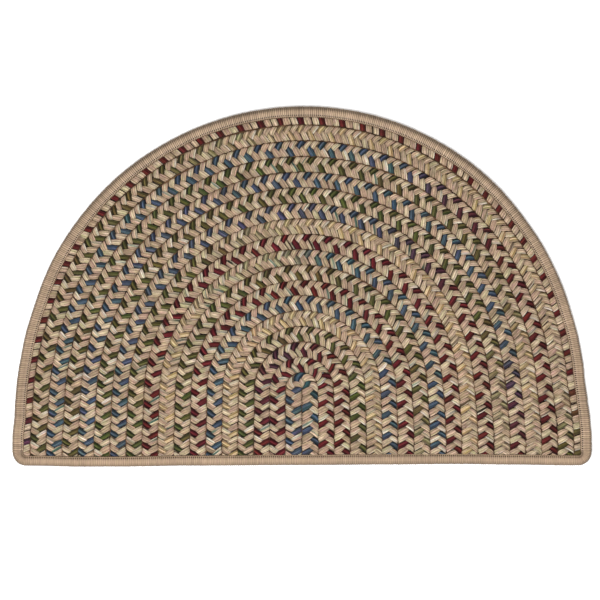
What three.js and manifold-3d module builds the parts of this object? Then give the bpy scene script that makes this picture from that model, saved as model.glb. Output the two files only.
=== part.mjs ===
// Half-round braided rug, for a doorway or a hearth.
//
// Eighteen lengths of flat three-strand plait are bent into arches, one inside
// the next, and sewn edge to edge. The straight side cuts across all their ends.
// A yarn binding is whipped round the whole edge: it folds over the ends of
// every plait and over the outer half of the outermost one, which are pressed
// thinner inside it.
//
// Millimetres. +X runs along the straight edge, +Y from the straight edge to the
// crown, +Z up through the thickness. The rug lies flat on z = 0.

import * as THREE from "three";
import { mergeVertices } from "three/addons/utils/BufferGeometryUtils.js";
import Module from "manifold-3d";

// ---- driving sizes ---------------------------------------------------------

const CROWN_RADIUS = 440; // of the rug's outer edge, over the crown
const CROWN_CENTRE = 125.3; // height of that radius's centre above the straight edge
const FLARE = 0.04; // how much wider the arches stand at the straight edge
const FLARE_FROM = 259; // the flare starts this far above the straight edge
const FLARE_TO = 39; // and is complete here
const LEAN = 3; // the crown leans this far towards +X
const CORNER_RADIUS = 22; // of the two outer corners

const PLAIT_COUNT = 18; // arches of plait, the outermost half under the binding
const PLAIT_PITCH = 24.2; // from one arch to the next, over the crown
const PLAIT_THICK = 10; // of a plait
const PLAIT_ROUND = 3; // its long edges are this much rounded off
const HAIRPIN_RADIUS = 24.8; // outside of the innermost plait, which folds back on itself
const HAIRPIN_CENTRE = 120.3; // height of its bend's centre above the straight edge
const CENTRE_RISE = 6; // only the outermost arches bend about a higher centre
const SEAM_GAP = 0.3; // between neighbouring plaits

const BINDING_WIDTH = 17.5; // as seen from above
const BINDING_THICK = 10.6; // top to bottom
const BINDING_WALL = 2.8; // yarn outside the tucked edge
const BINDING_SKIN = 2; // yarn above and below the tucked edge
const BINDING_ROUND = 3.4; // its outer edges are this much rounded off
const FIT_GAP = 0.3; // between the binding and what it holds

// Sewn by hand and laid by hand, the sides wander: how far each one stands out
// from the true curve at each height above the straight edge.
const SIDE_WANDER = [
  { height: 0, left: 0, right: 0 },
  { height: 40, left: 0, right: 0 },
  { height: 75, left: -2, right: -1.5 },
  { height: 100, left: -1.2, right: -3 },
  { height: 132, left: -0.5, right: -4 },
  { height: 165, left: 0, right: -2 },
  { height: 210, left: 1.8, right: 0 },
  { height: 260, left: 1.2, right: 0 },
  { height: 330, left: 1.5, right: -1.2 },
  { height: 390, left: 0.4, right: -2.6 },
  { height: 460, left: 0.9, right: -0.8 },
  { height: 530, left: -1.3, right: -1.4 },
];

// The straight edge isn't quite straight: how far it dips at each place along it.
const EDGE_DIPS = [
  { along: -470, dip: 0.4 },
  { along: -420, dip: 1.6 },
  { along: -350, dip: 3.0 },
  { along: -280, dip: 2.8 },
  { along: -180, dip: 1.4 },
  { along: 0, dip: 0.5 },
  { along: 130, dip: -0.4 },
  { along: 240, dip: -1.2 },
  { along: 340, dip: -0.2 },
  { along: 420, dip: 0.9 },
  { along: 470, dip: 0.6 },
];

// ---- how finely the curves are stepped ------------------------------------

const CROWN_STEPS = 22; // every arch shares these, so that the seams stay even
const LEG_STEPS = 2;
const CORNER_STEPS = 5;
const BASE_STEPS = 8;
const PLAIT_BEVELS = 1;
const BINDING_BEVELS = 2;

// ---- the family of arches --------------------------------------------------

const crownHeight = CROWN_CENTRE + CROWN_RADIUS;

const ease = (t) => {
  const u = Math.min(1, Math.max(0, t));
  return u * u * (3 - 2 * u);
};

// The value in column out of a table, at this place in its column along.
function read(table, along, out, place) {
  const last = table.length - 1;
  if (place <= table[0][along]) return table[0][out];
  if (place >= table[last][along]) return table[last][out];
  const i = table.findIndex((row) => row[along] > place);
  const a = table[i - 1];
  const b = table[i];
  const t = (place - a[along]) / (b[along] - a[along]);
  return a[out] + (b[out] - a[out]) * ease(t);
}

// The rug as laid: the arches flare a little towards the straight edge, the
// crown leans, and the sides wander, less so towards the middle.
function laid(x, y) {
  const flare = FLARE * ease((FLARE_FROM - y) / (FLARE_FROM - FLARE_TO));
  const lean = LEAN * Math.max(0, y / crownHeight) ** 3;
  const share = Math.min(1, Math.abs(x) / CROWN_RADIUS);
  const wander =
    Math.sign(x) * share * read(SIDE_WANDER, "height", x < 0 ? "left" : "right", y);
  return new THREE.Vector2(x * (1 + flare) + lean + wander, y);
}

// The outermost arches bend about a centre a little higher than the others.
const centreOf = (radius) =>
  HAIRPIN_CENTRE +
  (CROWN_CENTRE - HAIRPIN_CENTRE) * (radius / CROWN_RADIUS) ** CENTRE_RISE;

// A line at this radius from the foot of the left leg, over the crown, to the
// foot of the right leg.
function arch(radius, foot) {
  const centre = centreOf(radius);
  const line = [];
  for (let i = 0; i < LEG_STEPS; i++)
    line.push(laid(-radius, foot + ((centre - foot) * i) / LEG_STEPS));
  for (let i = 0; i <= CROWN_STEPS; i++) {
    const a = Math.PI * (1 - i / CROWN_STEPS);
    line.push(
      laid(radius * Math.cos(a), centre + radius * Math.sin(a)),
    );
  }
  for (let i = LEG_STEPS - 1; i >= 0; i--)
    line.push(laid(radius, foot + ((centre - foot) * i) / LEG_STEPS));
  return line;
}

const dipAt = (x) => read(EDGE_DIPS, "along", "dip", x);

// The rug's outline, drawn in by inset all round: over the crown, round the
// right corner, along the straight edge and round the left corner.
function outline(inset) {
  const radius = CROWN_RADIUS - inset;
  const round = CORNER_RADIUS - inset;
  const foot = inset + Math.max(round, 0.4);
  const line = arch(radius, foot);
  const rightFoot = line[line.length - 1];
  const leftFoot = line[0];
  const turn = Math.max(round, 0.4);
  const corner = (footPoint, side) => {
    const cx = footPoint.x - side * turn;
    const points = [];
    for (let i = 1; i <= CORNER_STEPS; i++) {
      const a = (Math.PI / 2) * (i / CORNER_STEPS);
      const x = cx + side * turn * Math.cos(a);
      const drop = turn * Math.sin(a);
      points.push(
        new THREE.Vector2(x, foot - drop - dipAt(x) * Math.sin(a)),
      );
    }
    return points;
  };
  const right = corner(rightFoot, 1);
  const left = corner(leftFoot, -1).reverse();
  const from = right[right.length - 1].x;
  const to = left[0].x;
  const base = [];
  for (let i = 1; i < BASE_STEPS; i++) {
    const x = from + ((to - from) * i) / BASE_STEPS;
    base.push(new THREE.Vector2(x, inset - dipAt(x)));
  }
  return [...line, ...right, ...base, ...left];
}

// ---- solids ----------------------------------------------------------------

// A flat piece of this plan, from z = low to z = high, its edges eased by round.
function flatPiece(plan, low, high, round = 0, bevels = 1) {
  const geometry = new THREE.ExtrudeGeometry(new THREE.Shape(plan), {
    depth: high - low - 2 * round,
    bevelEnabled: round > 0,
    bevelThickness: round,
    bevelSize: round,
    bevelOffset: -round,
    bevelSegments: bevels,
    curveSegments: 1,
  });
  return geometry.translate(0, 0, low + round);
}

const wasm = await Module();
wasm.setup();

function solid(geometry) {
  const bare = geometry.clone();
  bare.deleteAttribute("normal");
  bare.deleteAttribute("uv");
  const merged = mergeVertices(bare, 1e-4);
  return new wasm.Manifold(
    new wasm.Mesh({
      numProp: 3,
      vertProperties: merged.attributes.position.array,
      triVerts: new Uint32Array(merged.index.array),
    }),
  );
}

function geometryOf(manifold) {
  const { vertProperties, triVerts } = manifold.getMesh();
  const geometry = new THREE.BufferGeometry();
  geometry.setAttribute(
    "position",
    new THREE.BufferAttribute(vertProperties, 3),
  );
  geometry.setIndex(new THREE.BufferAttribute(triVerts, 1));
  geometry.computeVertexNormals();
  return geometry;
}

// The room that the plaits have: full height inside the binding, and the thin
// tongue that the binding folds over.
const room = solid(
  flatPiece(outline(BINDING_WIDTH + FIT_GAP), -1, PLAIT_THICK + 1),
).add(
  solid(
    flatPiece(
      outline(BINDING_WALL + FIT_GAP),
      BINDING_SKIN + FIT_GAP,
      BINDING_THICK - BINDING_SKIN - FIT_GAP,
    ),
  ),
);

// Plait i, counted from the outermost. The innermost folds back on itself.
function plait(i) {
  const half = SEAM_GAP / 2;
  const outer =
    HAIRPIN_RADIUS + PLAIT_PITCH * (PLAIT_COUNT - 1 - i) + (i === 0 ? 8 : 0);
  const inner = HAIRPIN_RADIUS + PLAIT_PITCH * (PLAIT_COUNT - 2 - i);
  const below = -12;
  const outside = arch(outer - half, below);
  const inside =
    i === PLAIT_COUNT - 1
      ? [
          new THREE.Vector2(-half, below),
          new THREE.Vector2(-half, HAIRPIN_CENTRE),
          new THREE.Vector2(half, HAIRPIN_CENTRE),
          new THREE.Vector2(half, below),
        ]
      : arch(inner + half, below);
  const plan = [...outside, ...inside.reverse()];
  return geometryOf(
    solid(
      flatPiece(plan, 0, PLAIT_THICK, PLAIT_ROUND, PLAIT_BEVELS),
    ).intersect(room),
  );
}

// The binding: a ring whose inner side is open, where the tucked edge goes in.
function binding() {
  const ring = solid(
    flatPiece(outline(0), 0, BINDING_THICK, BINDING_ROUND, BINDING_BEVELS),
  ).subtract(solid(flatPiece(outline(BINDING_WIDTH), -1, BINDING_THICK + 1)));
  const fold = solid(
    flatPiece(
      outline(BINDING_WALL),
      BINDING_SKIN,
      BINDING_THICK - BINDING_SKIN,
    ),
  );
  return geometryOf(ring.subtract(fold));
}

// ---- the rug ---------------------------------------------------------------

const YARN = {
  tan: 0xbba285,
  green: 0x4f5836,
  blue: 0x3c5478,
  red: 0x6d1f2f,
  straw: 0xc9ae74,
};

// The leading colour of each plait's third strand, from the outermost inwards.
const LEADING = [
  "red", "green", "blue", "green", "blue", "green", "blue", "straw", "red",
  "blue", "green", "red", "blue", "straw", "green", "red", "red", "blue",
];

const rug = new THREE.Group();

for (let i = 0; i < PLAIT_COUNT; i++) {
  const tint = new THREE.Color(YARN.tan).lerp(
    new THREE.Color(YARN[LEADING[i]]),
    0.33,
  );
  const mesh = new THREE.Mesh(
    plait(i),
    new THREE.MeshStandardMaterial({ color: tint, roughness: 0.92, metalness: 0 }),
  );
  mesh.name = "plait_" + String(i + 1).padStart(2, "0");
  rug.add(mesh);
}

const edge = new THREE.Mesh(
  binding(),
  new THREE.MeshStandardMaterial({ color: 0xb29878, roughness: 0.95, metalness: 0 }),
);
edge.name = "edge_binding";
rug.add(edge);

// The frame's origin is under the middle of the rug, on the floor.
const box = new THREE.Box3().setFromObject(edge);
rug.position.set(-(box.min.x + box.max.x) / 2, -(box.min.y + box.max.y) / 2, 0);

export default rug;
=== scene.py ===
"""Half-round braided rug: its plaits and its whipped binding, made strand by strand.

Every arch of plait is three flat strands of three yarns each, which cross at the
middle of the plait and fold over at its two sides. The binding is one yarn,
whipped round the rug's whole edge. Sizes here are millimetres, in the same plan
as the construction, and turned into metres when a mesh is made.
"""

import math
import bpy
import numpy as np
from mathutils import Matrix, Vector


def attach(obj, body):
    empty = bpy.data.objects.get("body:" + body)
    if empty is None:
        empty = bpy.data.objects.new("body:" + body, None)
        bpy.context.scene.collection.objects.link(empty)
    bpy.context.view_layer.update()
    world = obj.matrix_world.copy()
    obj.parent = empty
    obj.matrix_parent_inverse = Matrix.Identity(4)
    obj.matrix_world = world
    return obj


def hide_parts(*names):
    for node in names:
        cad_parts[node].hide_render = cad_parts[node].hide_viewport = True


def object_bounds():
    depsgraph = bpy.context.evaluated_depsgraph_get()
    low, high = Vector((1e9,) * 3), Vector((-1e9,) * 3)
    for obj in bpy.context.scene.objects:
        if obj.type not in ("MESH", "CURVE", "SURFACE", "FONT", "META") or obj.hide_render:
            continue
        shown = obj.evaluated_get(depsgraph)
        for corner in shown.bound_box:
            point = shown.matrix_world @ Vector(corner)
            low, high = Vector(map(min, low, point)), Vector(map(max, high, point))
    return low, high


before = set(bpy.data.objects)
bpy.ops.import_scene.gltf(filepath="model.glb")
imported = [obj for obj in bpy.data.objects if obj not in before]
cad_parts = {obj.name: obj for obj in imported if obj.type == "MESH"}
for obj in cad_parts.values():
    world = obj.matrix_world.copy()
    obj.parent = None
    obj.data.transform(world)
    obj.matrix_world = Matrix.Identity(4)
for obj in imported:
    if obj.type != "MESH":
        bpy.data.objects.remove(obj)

cad_low, cad_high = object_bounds()

# ---- sizes, as in the construction -----------------------------------------

CROWN_RADIUS = 440.0
CROWN_CENTRE = 125.3
FLARE = 0.04
FLARE_FROM = 259.0
FLARE_TO = 39.0
LEAN = 3.0
CORNER_RADIUS = 22.0
PLAIT_COUNT = 18
PLAIT_PITCH = 24.2
HAIRPIN_RADIUS = 24.8
HAIRPIN_CENTRE = 120.3
CENTRE_RISE = 6
THICK = 10.0

SIDE_WANDER = {  # how far each side stands out from the true curve
    "height": [0, 40, 75, 100, 132, 165, 210, 260, 330, 390, 460, 530],
    "left": [0, 0, -2, -1.2, -0.5, 0, 1.8, 1.2, 1.5, 0.4, 0.9, -1.3],
    "right": [0, 0, -1.5, -3, -4, -2, 0, 0, -1.2, -2.6, -0.8, -1.4],
}
EDGE_DIPS = {  # how far the straight edge dips
    "along": [-470, -420, -350, -280, -180, 0, 130, 240, 340, 420, 470],
    "dip": [0.4, 1.6, 3.0, 2.8, 1.4, 0.5, -0.4, -1.2, -0.2, 0.9, 0.6],
}

# ---- the plait ---------------------------------------------------------------

PERIOD = 32.6  # along the row, for one strand to cross over and back
HALF = PLAIT_PITCH / 2
REACH = 10.9  # how far a strand's middle goes to each side
SHARP = 0.95  # how straight it runs between its folds
LEVEL = 2.4  # how far its middle rises above and drops below the plait's middle
QUICK = 2.2  # how quickly it rises at a crossing
STRAND_HALF = 2.6  # half the thickness of a strand
SLANT = 35  # degrees each lobe leans along the row
# how far each lobe's end lags along the row, on the left and on the right
HELD = {"outer": [0, -0.4], "inner": [-0.7, -1.2]}
FOOT = 9.0  # the plaits end this high above the straight edge, in the binding
STEPS = [0, 13, 30, 50, 68, 80, 90, 104, 122, 146, 166]  # degrees, in each half turn
# a strand's section: places across it, how thick each is, and which of its
# yarns each lies on, up to the next
SECTION = {
    "place": [-1, -0.9, -0.4, 0, 0.4, 0.9, 1, 0.7, 0, -0.7],
    "rise": [0, 0.74, 0.97, 1, 0.97, 0.74, 0, -0.86, -1, -0.86],
    "yarn": [0, 0, 1, 2, 3, 3, 3, 2, 1, 0],
    "face": [0.35, 1, 1, 1, 1, 0.35, 0.35, 1, 1, 0.35],  # how much of its shading each gives
    "across": [1.5, 2.4, 1.9, 1.9, 2.4, 1.5, 2.4, 3.5, 3.5, 2.4],  # millimetres to the next
}
# the cream strand holds a thin yarn, and another along its side
CREAM_SECTION = {"place": [-1, -0.74, -0.4, 0.02, 0.26, 0.9, 1, 0.7, 0, -0.7], "yarn": [0, 1, 1, 2, 3, 3, 3, 2, 1, 0]}
# how wide each strand shows on the inner and the outer side of the plait
SHOWN = {"strand": ["accent", "cream", "tan"], "inner": [0.9, 1.02, 1.08], "outer": [1.0, 1.0, 1.0]}

# ---- colours -----------------------------------------------------------------

DYE = 0.54  # the studio light is stronger than white
YARNS = {  # as they look in soft white light
    "tan": (198, 172, 142),
    "dun": (162, 136, 106),
    "rose tan": (208, 174, 147),
    "cream": (228, 205, 172),
    "pale": (243, 231, 208),
    "moss cream": (214, 199, 158),
    "straw": (200, 172, 122),
    "gold": (202, 166, 120),
    "olive": (90, 81, 47),
    "green": (80, 85, 47),
    "sage": (158, 146, 108),
    "teal": (100, 128, 112),
    "blue green": (62, 88, 94),
    "blue": (72, 87, 99),
    "violet blue": (76, 81, 97),
    "navy": (58, 60, 72),
    "plum": (78, 46, 56),
    "wine": (92, 36, 34),
    "crimson": (98, 36, 40),
    "brown": (62, 42, 28),
    "salmon": (192, 142, 120),
}

# From the outermost plait inwards. accent, line and edge are the colours of the
# plait's dyed strand, of the thin yarn within its cream strand and of the yarn
# along that strand's side: each list of stops runs from the foot of the left leg
# (0) over the crown (0.5) to the foot of the right leg (1). laid is how far along
# the row the dyed strand's count begins, judged at each quarter of the row's
# length, as the hand that laid it stretched and eased the plait.
PLAITS = [
    {"accent": [(0, "navy"), (0.05, "wine"), (0.92, "wine"), (0.97, "olive")],
     "line": [(0, "cream"), (1, "cream")], "edge": [(0, "brown"), (1, "brown")],
     "laid": [6, 3, 8, 10, 2]},
    {"accent": [(0, "olive"), (0.35, "olive"), (0.44, "sage"), (0.52, "straw"), (0.78, "straw"), (0.9, "tan"), (0.98, "olive")],
     "line": [(0, "pale"), (0.5, "tan"), (1, "brown")], "edge": [(0, "tan"), (0.6, "tan"), (1, "brown")],
     "laid": [27.5, 23, 24.5, 27.5, 24.5]},
    {"accent": [(0, "blue"), (0.6, "blue"), (0.68, "plum"), (0.76, "wine"), (1, "wine")],
     "line": [(0, "teal"), (0.6, "pale"), (1, "brown")], "edge": [(0, "tan"), (0.2, "wine"), (0.3, "tan"), (1, "tan")],
     "laid": [3, 3.5, 7, 13, 15.5]},
    {"accent": [(0, "olive"), (0.4, "green"), (0.8, "olive"), (0.9, "straw"), (1, "tan")],
     "line": [(0, "pale"), (0.5, "teal"), (1, "tan")], "edge": [(0, "brown"), (0.3, "wine"), (0.4, "tan"), (1, "tan")],
     "laid": [21.5, 22.5, 24.5, 28.5, 26.5]},
    {"accent": [(0, "blue"), (0.35, "violet blue"), (0.55, "blue"), (0.84, "blue"), (0.93, "plum"), (1, "wine")],
     "line": [(0, "pale"), (0.5, "cream"), (1, "brown")], "edge": [(0, "teal"), (0.3, "brown"), (1, "tan")],
     "laid": [5.5, 4, 1, -1.5, -8.5]},
    {"accent": [(0, "green"), (0.3, "olive"), (0.6, "green"), (0.84, "olive"), (0.94, "sage"), (1, "tan")],
     "line": [(0, "pale"), (0.3, "pale"), (1, "tan")], "edge": [(0, "teal"), (0.5, "brown"), (1, "tan")],
     "laid": [15.5, 11.5, 12.5, 10.5, 9]},
    {"accent": [(0, "blue"), (0.4, "violet blue"), (0.6, "violet blue"), (0.7, "plum"), (0.78, "wine"), (1, "wine")],
     "line": [(0, "cream"), (0.5, "teal"), (1, "brown")], "edge": [(0, "plum"), (0.3, "tan"), (1, "brown")],
     "laid": [1.5, 6, 11, 12, 7.5]},
    {"accent": [(0, "green"), (0.36, "olive"), (0.43, "sage"), (0.52, "straw"), (0.8, "gold"), (1, "straw")],
     "line": [(0, "teal"), (0.5, "tan"), (1, "brown")], "edge": [(0, "tan"), (0.5, "brown"), (1, "tan")],
     "laid": [1.5, -2.5, -10, -2.5, 1.5]},
    {"accent": [(0, "wine"), (0.5, "crimson"), (1, "wine")],
     "line": [(0, "teal"), (0.5, "brown"), (1, "pale")], "edge": [(0, "tan"), (1, "tan")],
     "laid": [16.5, 15, 18.5, 16, 15]},
    {"accent": [(0, "gold"), (0.22, "straw"), (0.32, "sage"), (0.45, "sage"), (0.54, "blue green"), (0.65, "blue"), (1, "blue")],
     "line": [(0, "salmon"), (0.3, "teal"), (1, "pale")], "edge": [(0, "teal"), (0.3, "brown"), (1, "plum")],
     "laid": [10, 19.5, 21.5, 24.5, 21.5]},
    {"accent": [(0, "green"), (0.5, "olive"), (0.7, "green"), (0.88, "olive"), (1, "sage")],
     "line": [(0, "cream"), (0.5, "pale"), (1, "teal")], "edge": [(0, "brown"), (1, "brown")],
     "laid": [11.5, 10.5, 6.5, 1.5, 1.5]},
    {"accent": [(0, "crimson"), (0.5, "wine"), (1, "crimson")],
     "line": [(0, "pale"), (0.5, "teal"), (1, "cream")], "edge": [(0, "tan"), (0.7, "tan"), (1, "brown")],
     "laid": [2.5, 1, -0.5, -8.5, -10.5]},
    {"accent": [(0, "blue"), (0.85, "blue"), (1, "violet blue")],
     "line": [(0, "teal"), (0.5, "pale"), (1, "pale")], "edge": [(0, "brown"), (1, "brown")],
     "laid": [-0.5, 6, 7.5, 3.5, 8.5]},
    {"accent": [(0, "straw"), (0.35, "gold"), (0.6, "straw"), (1, "straw")],
     "line": [(0, "cream"), (0.5, "pale"), (1, "sage")], "edge": [(0, "brown"), (1, "brown")],
     "laid": [19.5, 6.5, -2.5, -10.5, -24.5]},
    {"accent": [(0, "green"), (0.5, "olive"), (0.85, "green"), (1, "olive")],
     "line": [(0, "pale"), (0.5, "pale"), (1, "cream")], "edge": [(0, "brown"), (0.5, "brown"), (1, "wine")],
     "laid": [3, 0.5, -8, -20, -20.5]},
    {"accent": [(0, "wine"), (0.45, "plum"), (0.6, "wine"), (1, "wine")],
     "line": [(0, "teal"), (0.5, "pale"), (1, "pale")], "edge": [(0, "plum"), (0.5, "brown"), (1, "tan")],
     "laid": [4.5, 8, -0.5, -13.5, -13.5]},
    {"accent": [(0, "crimson"), (1, "crimson")],
     "line": [(0, "teal"), (1, "pale")], "edge": [(0, "plum"), (0.5, "teal"), (1, "tan")],
     "laid": [21.5, 20, 8.5, -7.5, -11.5]},
    {"accent": [(0, "violet blue"), (0.4, "blue"), (0.6, "blue green"), (1, "violet blue")],
     "line": [(0, "pale"), (1, "teal")], "edge": [(0, "plum"), (1, "tan")],
     "laid": [23.5, 21.5, 26.5, 33.5, 34.5]},
]


def linear(rgb):
    c = np.asarray(rgb, float) / 255
    return np.where(c <= 0.04045, c / 12.92, ((c + 0.055) / 1.055) ** 2.4)


YARN = {name: DYE * linear(rgb) for name, rgb in YARNS.items()}


def shade(stops, t):
    """The colour at each t along a list of stops."""
    at = np.array([s[0] for s in stops], float)
    of = np.array([YARN[s[1]] for s in stops])
    return np.stack([np.interp(t, at, of[:, c]) for c in range(3)], -1)


# ---- the family of arches ------------------------------------------------------


def ease(t):
    u = np.clip(t, 0, 1)
    return u * u * (3 - 2 * u)


def read(table, along, out, place):
    a, v = np.array(table[along], float), np.array(table[out], float)
    p = np.clip(place, a[0], a[-1])
    i = np.clip(np.searchsorted(a, p, side="right") - 1, 0, len(a) - 2)
    return v[i] + (v[i + 1] - v[i]) * ease((p - a[i]) / (a[i + 1] - a[i]))


def laid(x, y):
    flare = FLARE * ease((FLARE_FROM - y) / (FLARE_FROM - FLARE_TO))
    lean = LEAN * np.maximum(0, y / (CROWN_CENTRE + CROWN_RADIUS)) ** 3
    share = np.minimum(1, np.abs(x) / CROWN_RADIUS)
    side = np.where(
        x < 0,
        read(SIDE_WANDER, "height", "left", y),
        read(SIDE_WANDER, "height", "right", y),
    )
    return x * (1 + flare) + lean + np.sign(x) * share * side, y


def centre_of(radius):
    share = (radius / CROWN_RADIUS) ** CENTRE_RISE
    return HAIRPIN_CENTRE + (CROWN_CENTRE - HAIRPIN_CENTRE) * share


def on_arch(radius, centre, foot, unit, s):
    """Where a point of this radius is, a length s along the arch of radius unit, up from the left foot."""
    leg = centre - foot
    arc = math.pi * unit
    a = math.pi - np.clip((s - leg) / unit, 0, math.pi)
    x = radius * np.cos(a)
    y = centre + radius * np.sin(a)
    y = np.where(s < leg, foot + s, np.where(s > leg + arc, centre - (s - leg - arc), y))
    return laid(x, y)


# The construction's origin is under the middle of its box.
SHIFT_Y = (CROWN_CENTRE + CROWN_RADIUS) - cad_high.y * 1000


def metres(x, y, z):
    return np.stack([x, y - SHIFT_Y, z], -1) / 1000


# ---- meshes --------------------------------------------------------------------


def wave(at, knot, size, rng):
    """Smooth noise along at, with a new value every knot."""
    u = (at - at.min()) / knot
    i = np.floor(u).astype(int)
    k = rng.normal(0, size, i.max() + 3)
    return k[i] + (k[i + 1] - k[i]) * ease(u - i)


class Bundle:
    """Tubes that make up one piece: each is a grid of rings, and its map is the tube slit and unrolled."""

    def __init__(self):
        self.points, self.normals, self.quads, self.tris = [], [], [], []
        self.quad_tint, self.tri_tint, self.yarn, self.lay = [], [], [], []
        self.tubes = []
        self.count = 0
        self.run = 0.0  # millimetres of tube so far

    def add(self, grid, tint, across, yarn_width, lay, face, closed=False):
        """grid (steps, places, 3) in metres; tint (steps, places, 3) of the strip from each place to the next; across in mm."""
        n, r, _ = grid.shape
        i0 = np.arange(n if closed else n - 1)
        i1 = (i0 + 1) % n
        j0 = np.arange(r)
        j1 = (j0 + 1) % r
        a, b = i0[:, None] * r + j0, i0[:, None] * r + j1
        c, d = i1[:, None] * r + j1, i1[:, None] * r + j0
        quads = np.stack([a, b, c, d], -1)
        flat = grid.reshape(-1, 3)
        corner = flat[quads]
        faces = np.cross(corner[:, :, 2] - corner[:, :, 0], corner[:, :, 3] - corner[:, :, 1])
        if not closed:
            middle = corner.mean(2) - grid[:-1].mean(1)[:, None]
            inside = (middle * faces).sum() < 0
        else:
            lowest = faces[:, np.argmin(grid[0, :, 2])]
            inside = lowest[:, 2].sum() > 0
        if inside:
            faces = -faces
        faces = faces / np.maximum(np.linalg.norm(faces, axis=-1, keepdims=True), 1e-12)
        weighted = faces * np.asarray(face, float)[None, :, None]
        normal = np.zeros_like(grid)
        for rows in (i0, i1):
            for places in (j0, j1):
                np.add.at(normal, (rows[:, None], places[None]), weighted)
        normal /= np.maximum(np.linalg.norm(normal, axis=-1, keepdims=True), 1e-12)
        tints = np.stack([tint[i0], tint[i0], tint[i1], tint[i1]], 2)
        step = np.linalg.norm(np.diff(grid.mean(1), axis=0, append=grid[:1].mean(1) if closed else None) if closed else np.diff(grid.mean(1), axis=0), axis=1) * 1000
        along = self.run + np.concatenate([[0], np.cumsum(np.maximum(step, 0.3))])
        self.run = along[-1] + 8.0
        around = np.concatenate([[0], np.cumsum(across)])
        order = [3, 2, 1, 0] if inside else [0, 1, 2, 3]
        self.points.append(flat)
        self.normals.append(normal.reshape(-1, 3))
        self.quads.append((quads + self.count).reshape(-1, 4)[:, order])
        self.quad_tint.append(tints.reshape(-1, 4, 3)[:, order].reshape(-1, 3))
        self.yarn.append(
            np.concatenate(
                [
                    np.broadcast_to(along[:n, None, None], (n, r, 1)),
                    yarn_width[..., None],
                    np.full((n, r, 1), 3.1 * len(self.tubes)),
                ],
                -1,
            ).reshape(-1, 3)
        )
        self.lay.append(lay.reshape(-1, 3))
        tube = {"along": along, "around": around, "order": order, "caps": not closed, "r": r}
        self.tubes.append(tube)
        self.count += n * r
        if closed:
            return
        # close both ends with a fan, painted darker as shade at the hidden end
        self.points.append(grid[[0, -1]].mean(1))
        self.normals.append(np.array([grid[0] - grid[1], grid[-1] - grid[-2]]).mean(1) * 1000)
        self.yarn.append(np.zeros((2, 3)))
        self.lay.append(np.zeros((2, 3)))
        for end, row in ((0, 0), (1, n - 1)):
            fan = np.stack(
                [row * r + j1, row * r + j0, np.full(r, n * r + end)]
                if end == 0
                else [row * r + j0, row * r + j1, np.full(r, n * r + end)],
                -1,
            )
            fan = fan + self.count - n * r
            self.tris.append(fan[:, ::-1] if inside else fan)
            self.tri_tint.append(np.repeat(tint[row] * 0.4, 3, 0))
        self.count += 2

    def maps(self):
        """Each tube unrolled, laid in lanes over a square: texture places for all corners, quads first."""
        tall = max(t["around"][-1] for t in self.tubes) + 1.3
        side = math.sqrt(self.run * tall) * 1.02 + 6
        while math.ceil(self.run / (side - 12)) * tall > side:
            side *= 1.01
        line = side - 12
        quads, tris = [], []
        for t in self.tubes:
            lane = np.floor(t["along"][:-1] / line)
            u0 = t["along"][:-1] - lane * line + 1
            u1 = t["along"][1:] - lane * line + 1
            v = lane[:, None] * tall + t["around"][None] + 0.6
            r = t["r"]
            q = np.stack(
                [
                    np.stack([np.repeat(u0[:, None], r, 1), v[:, :-1]], -1),
                    np.stack([np.repeat(u0[:, None], r, 1), v[:, 1:]], -1),
                    np.stack([np.repeat(u1[:, None], r, 1), v[:, 1:]], -1),
                    np.stack([np.repeat(u1[:, None], r, 1), v[:, :-1]], -1),
                ],
                2,
            ).reshape(-1, 4, 2)
            quads.append(q[:, t["order"]].reshape(-1, 2))
            if not t["caps"]:
                continue
            turned = t["order"][0] == 3
            for end, at, way in ((0, u0[0], -0.9), (1, u1[-1], 2.5)):
                vv = v[0] if end == 0 else v[-1]
                a = np.stack([np.full(r, at), vv[:-1]], -1)
                b = np.stack([np.full(r, at), vv[1:]], -1)
                c = np.stack([np.full(r, at + way), (vv[:-1] + vv[1:]) / 2], -1)
                f = np.stack([b, a, c] if end == 0 else [a, b, c], 1)
                tris.append((f[:, ::-1] if turned else f).reshape(-1, 2))
        return np.concatenate([*quads, *tris]) / side

    def made(self, name, material):
        points = np.concatenate(self.points)
        quads = np.concatenate(self.quads)
        tris = np.concatenate(self.tris) if self.tris else np.zeros((0, 3), int)
        loops = np.concatenate([quads.ravel(), tris.ravel()]).astype(np.int32)
        starts = np.concatenate(
            [np.arange(len(quads)) * 4, len(quads) * 4 + np.arange(len(tris)) * 3]
        ).astype(np.int32)
        mesh = bpy.data.meshes.new(name)
        mesh.vertices.add(len(points))
        mesh.vertices.foreach_set("co", points.astype(np.float32).ravel())
        mesh.loops.add(len(loops))
        mesh.loops.foreach_set("vertex_index", loops)
        mesh.polygons.add(len(starts))
        mesh.polygons.foreach_set("loop_start", starts)
        mesh.update(calc_edges=True)
        mesh.polygons.foreach_set("use_smooth", np.ones(len(starts), bool))
        rgba = np.ones((len(loops), 4), np.float32)
        rgba[:, :3] = np.clip(np.concatenate([*self.quad_tint, *self.tri_tint]), 0, 1)
        mesh.attributes.new("tint", "FLOAT_COLOR", "CORNER").data.foreach_set("color", rgba.ravel())
        for key, rows in (("yarn", self.yarn), ("lay", self.lay)):
            values = np.concatenate(rows).astype(np.float32)
            mesh.attributes.new(key, "FLOAT_VECTOR", "POINT").data.foreach_set("vector", values.ravel())
        layer = mesh.uv_layers.new(name="OFBake")
        layer.data.foreach_set("uv", self.maps().astype(np.float32).ravel())
        mesh.materials.append(material)
        if mesh.validate():
            raise SystemExit(f"{name} has faulty faces")
        normals = np.concatenate(self.normals)
        normals /= np.maximum(np.linalg.norm(normals, axis=1, keepdims=True), 1e-12)
        mesh.normals_split_custom_set_from_vertices(normals.astype(np.float32))
        o = bpy.data.objects.new(name, mesh)
        bpy.context.scene.collection.objects.link(o)
        return o


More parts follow.
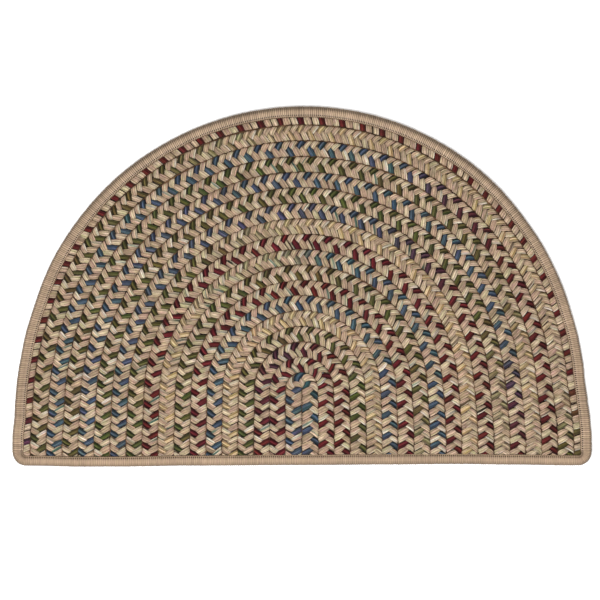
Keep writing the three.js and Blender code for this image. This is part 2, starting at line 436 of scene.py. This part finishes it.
# ---- materials -------------------------------------------------------------------


def yarn_material(name, fibre, fleck, bump, sheen, groove_shade_strength):
    """Woolly yarn in its own colours, streaked along its fibres and flecked, with painted shade in the crevices between
    yarns and strands.
    """
    mat = bpy.data.materials.new(name)
    mat.use_nodes = True
    nt = mat.node_tree
    nodes, link = nt.nodes, nt.links.new
    bsdf = nodes["Principled BSDF"]
    bsdf.inputs["Specular IOR Level"].default_value = 0.06
    bsdf.inputs["Sheen Weight"].default_value = sheen
    bsdf.inputs["Sheen Roughness"].default_value = 0.5

    def attribute(key):
        n = nodes.new("ShaderNodeAttribute")
        n.attribute_name = key
        return n

    tint, yarn, lay = attribute("tint"), attribute("yarn"), attribute("lay")

    def noise(scale, detail, rough):
        m = nodes.new("ShaderNodeVectorMath")
        m.operation = "MULTIPLY"
        m.inputs[1].default_value = scale
        link(yarn.outputs["Vector"], m.inputs[0])
        n = nodes.new("ShaderNodeTexNoise")
        n.inputs["Scale"].default_value = 1.0
        n.inputs["Detail"].default_value = detail
        n.inputs["Roughness"].default_value = rough
        link(m.outputs[0], n.inputs["Vector"])
        return n.outputs["Fac"]

    def ranged(value, a, b, c, d, kind="LINEAR"):
        r = nodes.new("ShaderNodeMapRange")
        r.interpolation_type = kind
        r.inputs["From Min"].default_value = a
        r.inputs["From Max"].default_value = b
        r.inputs["To Min"].default_value = c
        r.inputs["To Max"].default_value = d
        link(value, r.inputs["Value"])
        return r.outputs["Result"]

    def maths(kind, a, b=None):
        m = nodes.new("ShaderNodeMath")
        m.operation = kind
        for socket, value in zip(m.inputs, (a, b)):
            if isinstance(value, float):
                socket.default_value = value
            elif value is not None:
                link(value, socket)
        return m.outputs[0]

    def scaled(colour, by):
        m = nodes.new("ShaderNodeVectorMath")
        m.operation = "SCALE"
        link(colour, m.inputs[0])
        link(by, m.inputs["Scale"])
        return m.outputs[0]

    split = nodes.new("ShaderNodeSeparateXYZ")
    link(lay.outputs["Vector"], split.inputs[0])
    place = maths("ABSOLUTE", split.outputs["X"])
    deep = split.outputs["Y"]
    side_shade_share = split.outputs["Z"]
    plies = noise((0.07, 0.5, 9.1), 1.5, 0.6)
    streaks = noise((0.22, 2.6, 5.3), 3.0, 0.6)
    tufts = noise((0.6, 0.8, 2.9), 2.0, 0.5)
    flecks = noise((0.5, 1.3, 3.7), 1.0, 0.5)
    colour = scaled(tint.outputs["Color"], ranged(plies, 0.3, 0.7, 1 - 2 * fibre, 1 + 2 * fibre))
    colour = scaled(colour, ranged(streaks, 0.25, 0.75, 1 - fibre, 1 + fibre))
    colour = scaled(colour, ranged(tufts, 0.3, 0.7, 1 - 0.4 * fibre, 1 + 0.4 * fibre))
    colour = scaled(colour, ranged(flecks, 0.61, 0.72, 1.0, 1 - fleck))
    colour = scaled(colour, ranged(noise((0.8, 1.1, 6.1), 1.0, 0.5), 0.66, 0.74, 1.0, 1 + 0.7 * fleck))
    # the dye takes unevenly: redder here, yellower there
    wander = noise((0.11, 0.33, 1.7), 2.0, 0.6)
    uneven = nodes.new("ShaderNodeCombineXYZ")
    for channel, change in (("X", 0.1), ("Y", -0.06), ("Z", 0.22)):
        link(ranged(wander, 0.25, 0.75, 1 - change * fibre * 3, 1 + change * fibre * 3), uneven.inputs[channel])
    dyed = nodes.new("ShaderNodeVectorMath")
    dyed.operation = "MULTIPLY"
    link(colour, dyed.inputs[0])
    link(uneven.outputs[0], dyed.inputs[1])
    colour = dyed.outputs[0]
    # light lost in each crevice: beside the strand, between its yarns, and deep in the plait
    side = ranged(place, 0.8, 0.97, 0.0, 0.97, "SMOOTHSTEP")
    side = maths("SUBTRACT", 1.0, maths("MULTIPLY", side, side_shade_share))
    near = maths("ABSOLUTE", maths("SUBTRACT", place, 0.4))
    painted_groove_shade = ranged(near, 0.03, 0.15, groove_shade_strength, 0.0, "SMOOTHSTEP")
    painted_groove_shade = maths("SUBTRACT", 1.0, maths("MULTIPLY", painted_groove_shade, ranged(plies, 0.35, 0.6, 0.15, 1.0)))
    painted_pit_shade = ranged(deep, 0.5, 0.95, 1.0, 0.12, "SMOOTHSTEP")
    left = maths("MULTIPLY", maths("MULTIPLY", side, painted_groove_shade), painted_pit_shade)
    mix = nodes.new("ShaderNodeMix")
    mix.data_type = "RGBA"
    link(left, mix.inputs["Factor"])
    # the painted shade mixes towards this dark brown
    brown = nodes.new("ShaderNodeVectorMath")
    brown.operation = "MULTIPLY"
    link(colour, brown.inputs[0])
    brown.inputs[1].default_value = (0.16, 0.1, 0.065)
    link(brown.outputs[0], mix.inputs["A"])
    link(colour, mix.inputs["B"])
    link(mix.outputs["Result"], bsdf.inputs["Base Color"])
    link(ranged(streaks, 0.2, 0.8, 0.98, 0.8), bsdf.inputs["Roughness"])
    fuzz = noise((0.9, 4.2, 7.7), 4.0, 0.65)
    height = maths("ADD", maths("ADD", fuzz, streaks), painted_groove_shade)
    b = nodes.new("ShaderNodeBump")
    b.inputs["Strength"].default_value = 1.0
    b.inputs["Distance"].default_value = bump
    link(height, b.inputs["Height"])
    link(b.outputs["Normal"], bsdf.inputs["Normal"])
    return mat


PLAIT_YARN = yarn_material("plait_wool", 0.22, 0.5, 0.0005, 0.05, 0.7)
BINDING_YARN = yarn_material("binding_wool", 0.08, 0.12, 0.0003, 0.06, 0.0)


# ---- a plait ---------------------------------------------------------------------


def turned(theta, towards, spread):
    """1 where a strand's turn is at towards degrees, falling to 0 within about twice spread."""
    away = (np.degrees(theta) - towards + 180) % 360 - 180
    return np.exp(-((away / spread) ** 2))


def plait(i):
    row = PLAITS[i]
    rng = np.random.default_rng(4100 + i)
    mid = HAIRPIN_RADIUS + PLAIT_PITCH * (PLAIT_COUNT - 1 - i) - HALF
    centre = centre_of(mid)
    length = 2 * (centre - FOOT) + math.pi * mid
    period = length / max(1, round(length / PERIOD))
    # under the binding the outermost plait's lobes are drawn nearly square
    square = 1 if i == 0 else 0
    slant = math.radians(SLANT - 18 * square)
    lean, upright = math.sin(slant), math.cos(slant)
    half_turn = np.array(STEPS, float)
    rise, face, across = (np.array(SECTION[k]) for k in ("rise", "face", "across"))
    stations = np.linspace(0, length, 5)
    grid = np.linspace(-10, length + 10, 400)
    slip = wave(grid, 45, 0.5, rng)
    sway = wave(grid, 75, 0.3, rng)
    fat = 1 + wave(grid, 50, 0.03, rng)
    bundle = Bundle()
    for k in range(3):
        section = CREAM_SECTION if k == 1 else SECTION
        place0, yarn_of = np.array(section["place"], float), np.array(section["yarn"])
        first = math.floor(-80 / period * 2)
        turns = np.arange(first, first + math.ceil((length + 240) / period * 2))
        bend = np.tile(half_turn, len(turns))  # degrees into this half turn
        theta = (np.radians(half_turn)[None] + math.pi * turns[:, None]).ravel()
        even = period * (theta / (2 * math.pi) - k / 3)
        part = ease((even / length - 0.4) / 0.3)
        held = np.where(
            np.sin(theta) > -1e-9,
            np.interp(part, [0, 1], HELD["outer"]),
            np.interp(part, [0, 1], HELD["inner"]),
        )
        held = (held + 3.6 * square) * np.interp(bend, [0, 90, 180], [0, 1, 0]) - 1.8 * square
        s = even + np.interp(even, stations, row["laid"]) + wave(theta, 3.0, 0.5, rng) - held
        keep = (s > -1.5) & (s < length + 1.5)
        theta, even, s, bend, part = theta[keep], even[keep], s[keep], bend[keep], part[keep]
        stretch = 1 + np.interp(
            even, (stations[1:] + stations[:-1]) / 2, np.diff(row["laid"]) / (length / 4)
        )
        n = len(theta)
        sin, cos = np.sin(theta), np.cos(theta)
        top = math.asin(SHARP)
        x = REACH * np.arcsin(SHARP * sin) / top + wave(theta, 2.1, 0.4, rng)
        level = LEVEL * (1 + wave(theta, 2.9, 0.1, rng))
        z = level * np.tanh(QUICK * np.sin(2 * theta)) / math.tanh(QUICK)
        dx = REACH * SHARP * cos / np.sqrt(1 - (SHARP * sin) ** 2) / top
        dz = LEVEL * QUICK * 2 * np.cos(2 * theta) / np.cosh(QUICK * np.sin(2 * theta)) ** 2
        dz = dz / math.tanh(QUICK)
        size = np.hypot(dx, dz)
        nx, nz = -dz / size, dx / size
        thick = STRAND_HALF - 0.7 * np.abs(sin) ** 10
        thick = thick * (1 + wave(theta, 1.9, 0.06, rng))
        # on each side of the plait the strands show unequally
        inner, outer = turned(theta, 225, 42), turned(theta, 45, 42)
        share, move = np.ones(n), np.zeros(n)
        for side, near in (("inner", inner), ("outer", outer)):
            a, c, t = SHOWN[side]
            share = share + near * (SHOWN[side][k] - 1)
            move = move + near * (0, 2 - a - c, a + t - 2)[k]
        unit = period / 6 * stretch
        s = s + move * unit
        # each lobe is narrower where it comes up at the middle, and a little rounded at
        # its fold on the outer side, where it has more room
        leaf = 1 - 0.2 * np.exp(-((np.minimum(bend, 180 - bend) / 14) ** 2))
        leaf = leaf - np.where(sin > 0, 0.22 - 0.12 * part, 0.0) * np.exp(-(((bend - 90) / 14) ** 2))
        wide = unit * 1.03 * share * leaf * (1 + wave(theta, 2.3, 0.06, rng))
        across_way = np.clip(cos / 0.32, -1, 1)
        z = z + wave(theta, 1.7, 0.22, rng)
        drift = wave(theta, 5.0, 0.06, rng)[:, None]
        place = np.repeat(place0[None], n, 0)
        place[:, [2, 3, 4, 8]] += drift
        px = x[:, None] - place * (wide * across_way * lean * upright)[:, None] + rise * (thick * nx)[:, None]
        ps = s[:, None] + place * (wide * (1 - np.abs(across_way) * lean**2))[:, None]
        pz = z[:, None] + rise * (thick * nz)[:, None]
        # the middle of the plait stands a little outwards, more so on the right
        shift = 1.2 + 0.9 * ease((np.clip(ps / length, 0, 1) - 0.4) / 0.3)
        px = px + shift * np.clip(1 - (px / HALF) ** 2, 0, 1)
        # the lobes press on the next plait's
        over = np.maximum(np.abs(px) - HALF + 0.4, 0)
        px = px - np.sign(px) * over * 0.65
        if i == PLAIT_COUNT - 1:  # the hairpin's two legs press together
            px = np.where(px < 0, px * 1.06, px)
        ps = ps + np.interp(ps, grid, slip)
        pz = pz * np.interp(ps, grid, fat)
        radius = np.maximum(mid + px + np.interp(ps, grid, sway), 0.15)
        leg = centre - FOOT
        height = np.where(ps < leg, FOOT + ps, np.where(ps > length - leg, FOOT + length - ps, 200.0))
        full = pressed(radius, height)
        pz = pz * full + THICK / 2 + 0.1 - (1 - full) * 0.6
        wx, wy = on_arch(radius, centre, FOOT, mid, ps)
        if i == 0:
            wx, wy = within_corners(wx, wy)
        points = metres(wx, wy, np.maximum(pz, 0.02))
        # how deep in the plait each point lies, which sets the painted shade deep in the plait
        deep = 1 - np.abs(pz - THICK / 2) / (THICK / 2 * full)
        deep = deep * (1 - 0.6 * np.abs(sin) ** 6)[:, None]
        # the cream and tan lobes lie close together on the inner side, most of all on the left, so the painted shade
        # beside them is fainter there; this sets how dark the painted shade beside each strand is, a little darker on
        # the outer side
        close = np.array([(k == 1 and q < 0) or (k == 2 and q > 0) for q in place0], float)
        side_shade_share = np.clip((0.95, 0.85, 0.85)[k] + wave(theta, 2.9, 0.25, rng), 0.1, 1.1)
        side_shade_share = side_shade_share[:, None] * (1 - (0.85 - 0.6 * part[:, None]) * close * inner[:, None]) + 0.15 * outer[:, None]
        lay = np.stack([np.broadcast_to(place0, (n, 10)), deep, side_shade_share], -1)
        colours = strand_colours(k, row, np.clip(s / length, 0, 1), theta, rng)
        bundle.add(points, colours[:, yarn_of], across, place * 4.6, lay, face)
    if i > 0:
        seam_thread_and_shade(bundle, mid, centre, length, rng)
    if i == PLAIT_COUNT - 1:
        middle_thread_and_shade(bundle, rng)
    name = f"plait_{i + 1:02d}"
    o = bundle.made(f"{name}_strands", PLAIT_YARN)
    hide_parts(name)
    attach(o, "root")
    return o


def pressed(radius, height):
    """How much of its thickness a plait keeps at this radius and height above the straight edge: less inside the binding."""
    inset = np.minimum(CROWN_RADIUS - radius, height + 4.0)
    return 0.42 + 0.58 * ease((inset - 17.0) / 5.5)


def within_corners(x, y):
    """Points drawn in to stay inside the binding's two rounded corners."""
    feet, _ = laid(np.array([-CROWN_RADIUS, CROWN_RADIUS]), np.full(2, CORNER_RADIUS))
    for foot in feet:
        way = math.copysign(1, foot)
        ax, ay = x - (foot - way * CORNER_RADIUS), y - CORNER_RADIUS
        far = np.hypot(ax, ay)
        keep = np.where((way * ax > 0) & (ay < 0), np.minimum(1, (CORNER_RADIUS - 5) / np.maximum(far, 1e-6)), 1.0)
        x, y = x + ax * (keep - 1), y + ay * (keep - 1)
    return x, y


def strand_colours(k, row, t, theta, rng):
    """The colours of a strand's four yarns at each step: (steps, 4 yarns, 3)."""

    def light(size, knot=2.9):
        return (1 + wave(theta, knot, size, rng))[:, None]

    def between(*names):
        """A yarn whose dye wanders between colours."""
        u = np.clip((0.5 + wave(theta, 2.7, 0.32, rng)) * (len(names) - 1), 0, len(names) - 1.001)
        j = u.astype(int)
        of = np.array([YARN[n] for n in names])
        return of[j] + (of[j + 1] - of[j]) * (u - j)[:, None]

    def now_and_then(stops, under, often):
        """A thin yarn that shows in some lobes only."""
        seen = np.clip(0.5 + (wave(theta, 2.9, 1.0, rng) + often) * 1.5, 0, 1)[:, None]
        return under + (shade(stops, t) * light(0.15) - under) * seen

    def dye(size):
        return 1 + size[:, None] * np.stack([wave(theta, 3.0, 1, rng).clip(-2, 2) for _ in range(3)], -1)

    if k == 0:
        accent = shade(row["accent"], t)
        size = np.interp(accent.mean(1) / DYE, [0.08, 0.35], [0.075, 0.035])  # the dark dyes vary more
        accent = accent * dye(size)
        yarns = [accent * a * light(0.12) * dye(size) for a in (0.36, 1.6, 0.95, 0.42)]
        # the pale dyes are plied with undyed yarn
        plain = np.interp(accent.mean(1) / DYE, [0.15, 0.4], [0, 0.6])[:, None]
        yarns[1] = yarns[1] + (YARN["cream"] * light(0.1) - yarns[1]) * plain
        yarns[3] = yarns[3] + (YARN["tan"] * light(0.1) - yarns[3]) * plain
        yarns[0] = yarns[0] + (accent * 0.9 - yarns[0]) * plain
    elif k == 1:
        cream = between("moss cream", "cream", "rose tan", "cream") * light(0.1)
        yarns = [
            now_and_then(row["edge"], cream * 0.85, 0.3),
            cream,
            now_and_then(row["line"], cream, -0.2),
            between("cream", "pale", "tan", "cream") * light(0.1),
        ]
    else:
        middle = between("tan", "rose tan", "tan", "cream") * light(0.08)
        yarns = [
            between("dun", "tan", "rose tan", "cream") * light(0.1),
            middle,
            middle * light(0.05),
            between("tan", "cream", "rose tan", "dun") * light(0.1),
        ]
    return np.stack(yarns, 1)


def middle_thread_and_shade(bundle, rng):
    """The thread that draws the two legs of the innermost plait together, dark and patchy so that it is also painted
    shade in the gap between them.
    """
    y = np.arange(FOOT - 1.0, HAIRPIN_CENTRE + 4.0, 3.8)
    n = len(y)
    side = np.array([-0.9, 0.9, 1.8, -1.8]) + wave(y, 9, 0.15, rng)[:, None]
    level = np.array([5.8, 5.8, 1.4, 1.4])
    full = pressed(np.zeros(n), y)[:, None]
    wx, wy = laid(side, np.repeat(y[:, None], 4, 1))
    points = metres(wx, wy, (level - THICK / 2) * full + THICK / 2 - (1 - full) * 0.6)
    # a dark brown thread, darker and patchier than thread alone, as painted shade in the gap
    tint = np.broadcast_to(YARN["tan"] * (0.26, 0.19, 0.15), (n, 4, 3)) * (1 + wave(y, 8, 0.45, rng)).clip(0.3)[:, None, None]
    bundle.add(points, tint, np.array([1.5, 3.0, 1.8, 3.0]), side, np.zeros((n, 4, 3)), [1] * 4)


def seam_thread_and_shade(bundle, mid, centre, length, rng):
    """The thread that draws this plait against the next one outwards, down in the seam between them, wide, dark and
    patchy so that it is also painted shade in the seam.
    """
    s = np.arange(-1.0, length + 1.0, 3.8)
    n = len(s)
    weave = 0.6 * np.sin(s / PERIOD * 6 * math.pi) + wave(s, 9, 0.15, rng)
    side = np.array([-1.1, 1.1, 2.0, -2.0])
    level = np.array([7.3, 7.3, 1.4, 1.4])
    leg = centre - FOOT
    height = np.where(s < leg, FOOT + s, np.where(s > length - leg, FOOT + length - s, 200.0))
    radius = mid + HALF + weave
    full = pressed(radius, height)
    wx, wy = on_arch(radius[:, None] + side, centre, FOOT, mid, np.repeat(s[:, None], 4, 1))
    points = metres(wx, wy, (level - THICK / 2) * full[:, None] + THICK / 2 - (1 - full[:, None]) * 0.6)
    # a dark brown thread, darker and patchier than thread alone, as painted shade in the seam
    tint = np.broadcast_to(YARN["tan"] * (0.26, 0.19, 0.15), (n, 4, 3)) * (1 + wave(s, 8, 0.45, rng)).clip(0.3)[:, None, None]
    bundle.add(
        points, tint, np.array([1.5, 3.0, 1.8, 3.0]), np.broadcast_to(side, (n, 4)), np.zeros((n, 4, 3)), [1] * 4
    )


for i in range(PLAIT_COUNT):
    plait(i)


# ---- the binding -------------------------------------------------------------------

WRAP_PITCH = 3.07
WRAP_STEPS = 6
STRAIGHT = 0.85  # how wide the binding is along the straight edge, to its width round the arch
# round the binding's section, from the needle holes over the edge and back
# underneath: how far in from the edge, how high, how far each wrap stands up,
# its painted light and shade on the arch's sides, at its crown and on the
# straight edge, how far that painted shade turns brown, and 1 for a strip that
# has needle holes (2 where they fall between the first ones)
BINDING_SECTION = {
    "inset": [18.7, 18.4, 17.3, 16.4, 15.7, 14.0, 12.6, 10.6, 8.3, 6.0, 4.3, 2.9, 1.7, 1.0, 1.1, 2.2, 6.0, 14.0, 17.8],
    "height": [6.6, 7.8, 8.7, 8.9, 8.3, 8.6, 9.6, 10.4, 10.75, 10.5, 9.7, 8.3, 6.4, 4.2, 1.9, 0.5, 0.1, 0.1, 3.0],
    "ridge": [0, 0.15, 0.3, 0.3, 0.25, 0.35, 0.5, 0.55, 0.55, 0.55, 0.55, 0.5, 0.45, 0.4, 0.35, 0.3, 0.1, 0.1, 0],
    "light": [0.4, 0.7, 1.0, 1.15, 1.25, 1.2, 1.1, 0.96, 1.04, 1.12, 0.84, 0.68, 0.72, 0.8, 0.7, 0.8, 0.85, 0.8, 0.4],
    "crown": [0.35, 0.6, 1.05, 1.2, 1.3, 1.25, 1.24, 1.2, 0.98, 0.64, 0.55, 0.62, 0.85, 0.9, 0.7, 0.8, 0.85, 0.8, 0.4],
    "straight": [0.35, 0.56, 0.92, 0.9, 0.91, 0.93, 1.15, 1.2, 1.15, 0.96, 0.8, 0.64, 0.48, 0.45, 0.5, 0.7, 0.85, 0.8, 0.4],
    "brown": [1, 1, 1, 1, 1, 1, 0.5, 0.2, 0, 0, 0, 0, 0, 0, 0, 0, 0, 1, 1],
    "holes": [0, 2, 0, 0, 1, 0, 0, 0, 0, 0, 0, 0, 0, 0, 0, 0, 0, 0, 0],
}


def edge_at(t, inset):
    """The plan of the rug's edge, drawn in by inset: t runs 0 to 1 up the left leg, over the crown and back along the straight edge."""
    leg = CROWN_CENTRE - CORNER_RADIUS
    arc = math.pi * CROWN_RADIUS
    base = 2 * (CROWN_RADIUS * (1 + FLARE) - CORNER_RADIUS)
    bend = math.pi / 2 * CORNER_RADIUS
    ends = np.concatenate([[0], np.cumsum([leg, arc, leg, bend, base, bend])])
    s = t * ends[-1]
    radius = CROWN_RADIUS - inset
    a = math.pi - np.clip((s - ends[1]) / CROWN_RADIUS, 0, math.pi)
    x = radius * np.cos(a)
    y = CROWN_CENTRE + radius * np.sin(a)
    y = np.where(s < ends[1], CORNER_RADIUS + s, y)
    y = np.where(s > ends[2], CROWN_CENTRE - (s - ends[2]), y)
    wx, wy = laid(x, np.maximum(y, CORNER_RADIUS))
    feet, _ = laid(np.array([-CROWN_RADIUS, CROWN_RADIUS]), np.full(2, CORNER_RADIUS))
    turn = CORNER_RADIUS - inset
    for first, foot, way in ((3, feet[1], 1), (5, feet[0], -1)):
        b = np.clip((s - ends[first]) / CORNER_RADIUS, 0, math.pi / 2)
        if way < 0:
            b = math.pi / 2 - b
        bx = foot - way * CORNER_RADIUS + way * turn * np.cos(b)
        by = CORNER_RADIUS - turn * np.sin(b)
        by = by - read(EDGE_DIPS, "along", "dip", bx) * np.sin(b)
        here = (s >= ends[first]) & (s <= ends[first + 1])
        wx, wy = np.where(here, bx, wx), np.where(here, by, wy)
    here = (s > ends[4]) & (s < ends[5])
    share = np.clip((s - ends[4]) / base, 0, 1)
    bx = (feet[1] - CORNER_RADIUS) * (1 - share) + (feet[0] + CORNER_RADIUS) * share
    by = inset - read(EDGE_DIPS, "along", "dip", bx)
    return np.where(here, bx, wx), np.where(here, by, wy), ends[-1]


def narrowed(t):
    """How wide the binding is at each t along the edge."""
    leg = CROWN_CENTRE - CORNER_RADIUS
    first = 2 * leg + math.pi * CROWN_RADIUS
    _, _, total = edge_at(np.array([0.0]), 0.0)
    into = ease((t * total - first) / (1.2 * CORNER_RADIUS)) * ease((total - t * total) / (1.2 * CORNER_RADIUS))
    return 1 - (1 - STRAIGHT) * into


def binding():
    rng = np.random.default_rng(977)
    _, _, total = edge_at(np.array([0.0]), 0.0)
    wraps = round(total / WRAP_PITCH)
    count = wraps * WRAP_STEPS
    inset, height, ridge, light, crown, straight, brown = (
        np.array(BINDING_SECTION[k], float)
        for k in ("inset", "height", "ridge", "light", "crown", "straight", "brown")
    )
    holes = np.array(BINDING_SECTION["holes"])
    n = len(inset)
    # wraps of unequal width
    width = 1 + rng.normal(0, 0.1, wraps).clip(-0.25, 0.25)
    start = np.concatenate([[0], np.cumsum(width)]) / width.sum()
    within = np.arange(WRAP_STEPS) / WRAP_STEPS
    t = (start[:-1, None] + np.diff(start)[:, None] * within).ravel()
    up = np.tile([-1.0, -0.15, 0.55, 0.8, 0.55, -0.15], wraps)
    angle = t * 2 * math.pi

    def slow(size, low, high, step):
        return sum(
            rng.normal(0, size) * np.sin(f * angle + rng.uniform(0, 6.3)) for f in range(low, high, step)
        )

    sway = slow(0.2, 3, 60, 5).clip(-0.8, 0.8)
    each = np.repeat(rng.normal(0, 0.12, wraps), WRAP_STEPS)
    di, dh = np.gradient(inset), np.gradient(height)
    size = np.hypot(di, dh)
    oi, oh = -dh / size, di / size
    if (oi * (inset - 8) + oh * (height - 5)).sum() < 0:
        oi, oh = -oi, -oh
    lift = ridge[None] * up[:, None] + each[:, None] * (ridge[None] > 0.3)
    ins = inset[None] + oi[None] * lift + sway[:, None] * ease((inset[None] - 2) / 8) * 0.6
    # along the straight edge it is narrower, and stands out a little further
    at_straight = ((1 - narrowed(t)) / (1 - STRAIGHT))[:, None]
    ins = ins * narrowed(t)[:, None] - 1.6 * at_straight * ease((9 - ins) / 8)
    hgt = height[None] + oh[None] * lift + (slow(0.1, 5, 50, 7) * (height > 5)[:, None]).T
    hgt = np.maximum(hgt, 0.02)
    x, y, _ = edge_at(np.repeat(t[:, None], n, 1), ins)
    step = np.tile(np.arange(WRAP_STEPS), wraps)
    # each needle hole is a small sunk patch of strip j to j + 1, painted near black as the shade inside it
    first = (np.isin(step, (0, 1, 2)))[:, None] & (holes == 1)[None]
    second = (np.isin(step, (3, 4, 5)))[:, None] & (holes == 2)[None]
    sunk = first | second
    sunk = sunk | np.roll(sunk, 1, 1)
    hgt = hgt - 0.7 * sunk
    points = metres(x, y, hgt)
    knots = np.repeat(rng.normal(0, 0.07, wraps), WRAP_STEPS)
    knots = knots * (1 - 0.65 * at_straight[:, 0])
    tone = (1 + knots + slow(0.012, 1, 30, 3))[:, None, None]
    base = DYE * linear((192, 165, 138))
    at_crown = ease((y[:, 8] - 300) / 180)[:, None]
    # painted shade in the dip between wraps and painted highlight on each crest, over the real ridges, stronger at the
    # crown and weaker on the straight edge
    painted_groove_shade = np.tile([0.36, 0.8, 1.12, 1.24, 1.12, 0.8], wraps)[:, None]
    painted_groove_shade = 1 + (painted_groove_shade - 1) * (0.75 + 0.25 * at_crown - 0.42 * at_straight)
    # painted light and shade across the section: the arch's sides, blended to the crown and to the straight edge, then
    # dimmed in each wrap's painted groove
    shown = light + (crown - light) * at_crown
    shown = shown + (straight - shown) * at_straight
    shown = shown * (1 - (1 - painted_groove_shade) * (ridge[None] > 0.15))
    # the painted shade turns browner where the section's brown column says
    warm = 1 + brown[:, None] * np.array([-0.1, 0.05, 0.25])
    tint = tone * base * shown[..., None] ** warm
    # the needle holes are painted near black, as the shade inside them
    tint = np.where((first | second)[..., None], DYE * linear((26, 15, 9)), tint)
    across = np.hypot(np.diff(inset, append=inset[0]), np.diff(height, append=height[0])).clip(0.4)
    around = np.concatenate([[0], np.cumsum(across)])
    # the yarn runs round the section, so its fibres do too
    bundle = Bundle()
    lay = np.zeros((count, n, 3))
    bundle.add(points, tint, across, np.zeros((count, n)), lay, [1] * n, closed=True)
    turn = np.repeat(rng.uniform(0, 90, wraps), WRAP_STEPS)
    bundle.yarn = [
        np.stack(
            [
                around[None, :-1] + turn[:, None],
                np.repeat((t * total)[:, None], n, 1),
                np.full((count, n), 3.3),
            ],
            -1,
        ).reshape(-1, 3)
    ]
    o = bundle.made("edge_binding_wraps", BINDING_YARN)
    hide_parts("edge_binding")
    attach(o, "root")
    return o


binding()

# ---- floor, light, camera ------------------------------------------------------------

floor_mesh = bpy.data.meshes.new("floor")
floor_mesh.from_pydata(
    [(-4, -4, -0.0002), (4, -4, -0.0002), (4, 4, -0.0002), (-4, 4, -0.0002)], [], [(0, 1, 2, 3)]
)
floor = bpy.data.objects.new("floor", floor_mesh)
bpy.context.scene.collection.objects.link(floor)
white = bpy.data.materials.new("floor_white")
white.use_nodes = True
white.node_tree.nodes["Principled BSDF"].inputs["Base Color"].default_value = (0.95, 0.95, 0.95, 1)
white.node_tree.nodes["Principled BSDF"].inputs["Roughness"].default_value = 0.9
white.node_tree.nodes["Principled BSDF"].inputs["Specular IOR Level"].default_value = 0.0
floor_mesh.materials.append(white)

world = bpy.data.worlds.new("studio")
bpy.context.scene.world = world
world.use_nodes = True
world.node_tree.nodes["Background"].inputs["Color"].default_value = (1, 1, 1, 1)
world.node_tree.nodes["Background"].inputs["Strength"].default_value = 0.9


def lamp(name, place, size, power):
    light = bpy.data.lights.new(name, "AREA")
    light.shape = "SQUARE"
    light.size = size
    light.energy = power
    o = bpy.data.objects.new(name, light)
    bpy.context.scene.collection.objects.link(o)
    o.location = place
    x, y, z = place
    away = math.hypot(x, y)
    o.rotation_euler = (math.atan2(away, z), 0, math.atan2(y, x) + math.pi / 2)
    return o


lamp("key", (-0.5, -1.15, 2.85), 1.3, 92)

PIXEL = 1.5766 / 1000  # metres to each pixel of a 600 pixel square
camera = bpy.data.cameras.new("camera")
camera.type = "ORTHO"
camera.ortho_scale = 600 * PIXEL
eye = bpy.data.objects.new("camera", camera)
bpy.context.scene.collection.objects.link(eye)
eye.location = (-2.0 * PIXEL, -14.0 * PIXEL, 3.0)
camera.clip_end = 20
bpy.context.scene.camera = eye
bpy.context.scene.view_settings.view_transform = "Standard"
